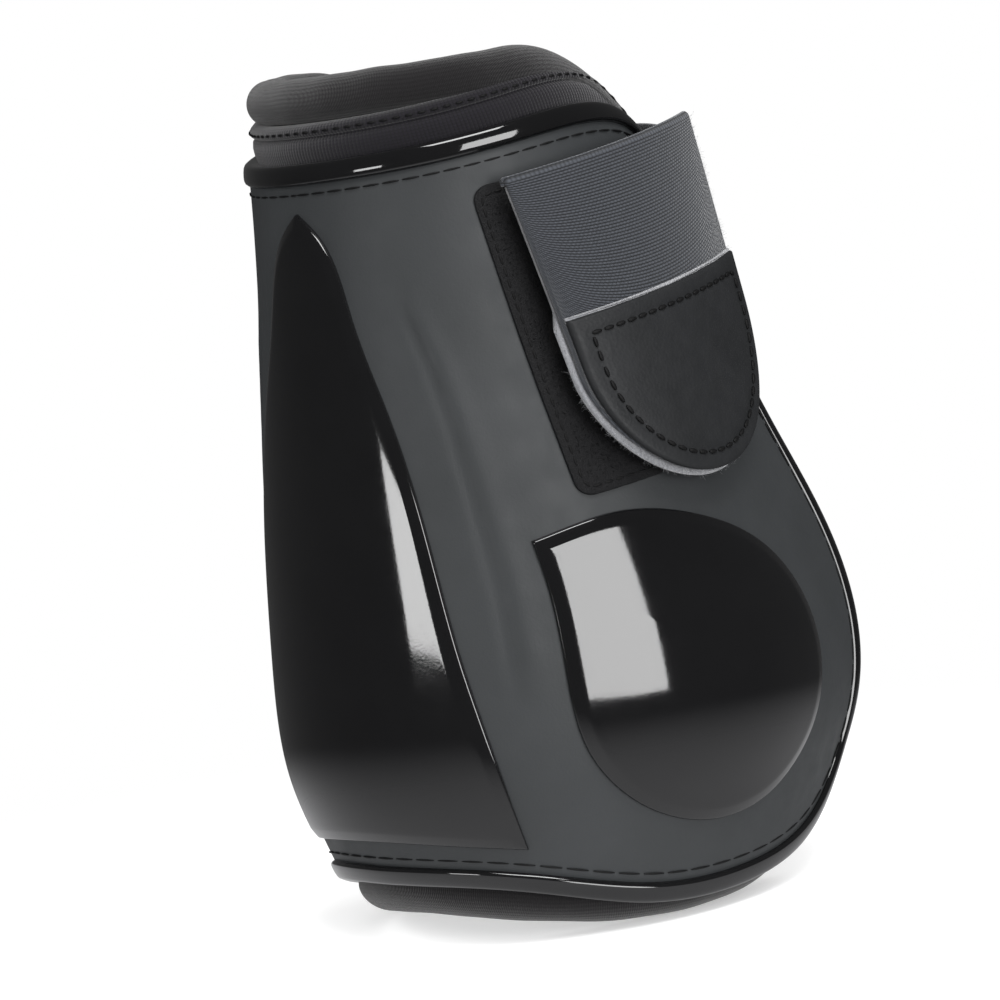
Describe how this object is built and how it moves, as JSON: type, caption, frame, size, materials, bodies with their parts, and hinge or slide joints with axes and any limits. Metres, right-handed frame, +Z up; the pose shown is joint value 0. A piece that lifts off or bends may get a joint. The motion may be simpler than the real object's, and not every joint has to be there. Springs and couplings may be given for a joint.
{
  "type": "horse fetlock boot",
  "caption": "Open-front fetlock boot for a horse's right hind leg: padded moulded shell with gloss strike plates, closed by an elastic front band and a lock flap.",
  "frame": {"origin": "on the axis of the cannon bone, at half the height of the boot, where the leg sits", "axes": "+Z up along the cannon bone, +X towards the open front of the boot, -Y the outer (lateral) side of a right leg"},
  "size_m": [0.1055, 0.1082, 0.1679],
  "materials": {
    "matte_shell": "soft matte charcoal",
    "gloss_trim": "high-gloss black",
    "neoprene": "knit-faced foam rubber, near black",
    "lining": "knit",
    "foam": "closed-cell foam",
    "thread": "bonded thread",
    "hook_tape": "hook tape",
    "elastic": "woven slate-grey elastic",
    "loop_pile": "light grey brushed loop pile",
    "tab_leather": "smooth charcoal synthetic leather"
  },
  "bodies": {
    "boot": {"outer_shell": "matte_shell", "shell_rim": "gloss_trim", "back_strike_plate": "gloss_trim", "lateral_fetlock_dome": "gloss_trim", "medial_fetlock_dome": "gloss_trim", "shell_stitching": "thread", "neoprene_liner": "neoprene", "inner_lining": "lining", "back_foam_pad": "foam", "lateral_foam_pad": "foam", "medial_foam_pad": "foam", "top_gusset": "neoprene", "top_collar_roll": "neoprene", "collar_stitching": "thread", "bottom_collar_roll": "neoprene", "hook_patch": "hook_tape", "hook_patch_stitching": "thread", "band_anchor": "elastic", "band_anchor_stitching": "thread"},
    "front_band": {"front_band": "elastic", "band_end_loop_pad": "loop_pile"},
    "lock_flap": {"lock_flap": "elastic", "flap_loop_lining": "loop_pile", "end_tab": "tab_leather", "end_tab_stitching": "thread"}
  },
  "joints": [
    {"name": "band_open", "type": "hinge", "parent": "boot", "child": "front_band", "pos_m": [0.02615, 0.03739, 0.0478], "axis": [-0.0846, -0.1227, 0.9888], "range_deg": [0, 110]},
    {"name": "flap_lift", "type": "hinge", "parent": "front_band", "child": "lock_flap", "pos_m": [0.0015, -0.04264, 0.066], "axis": [-0.9903, 0, -0.1392], "range_deg": [0, 150]}
  ]
}
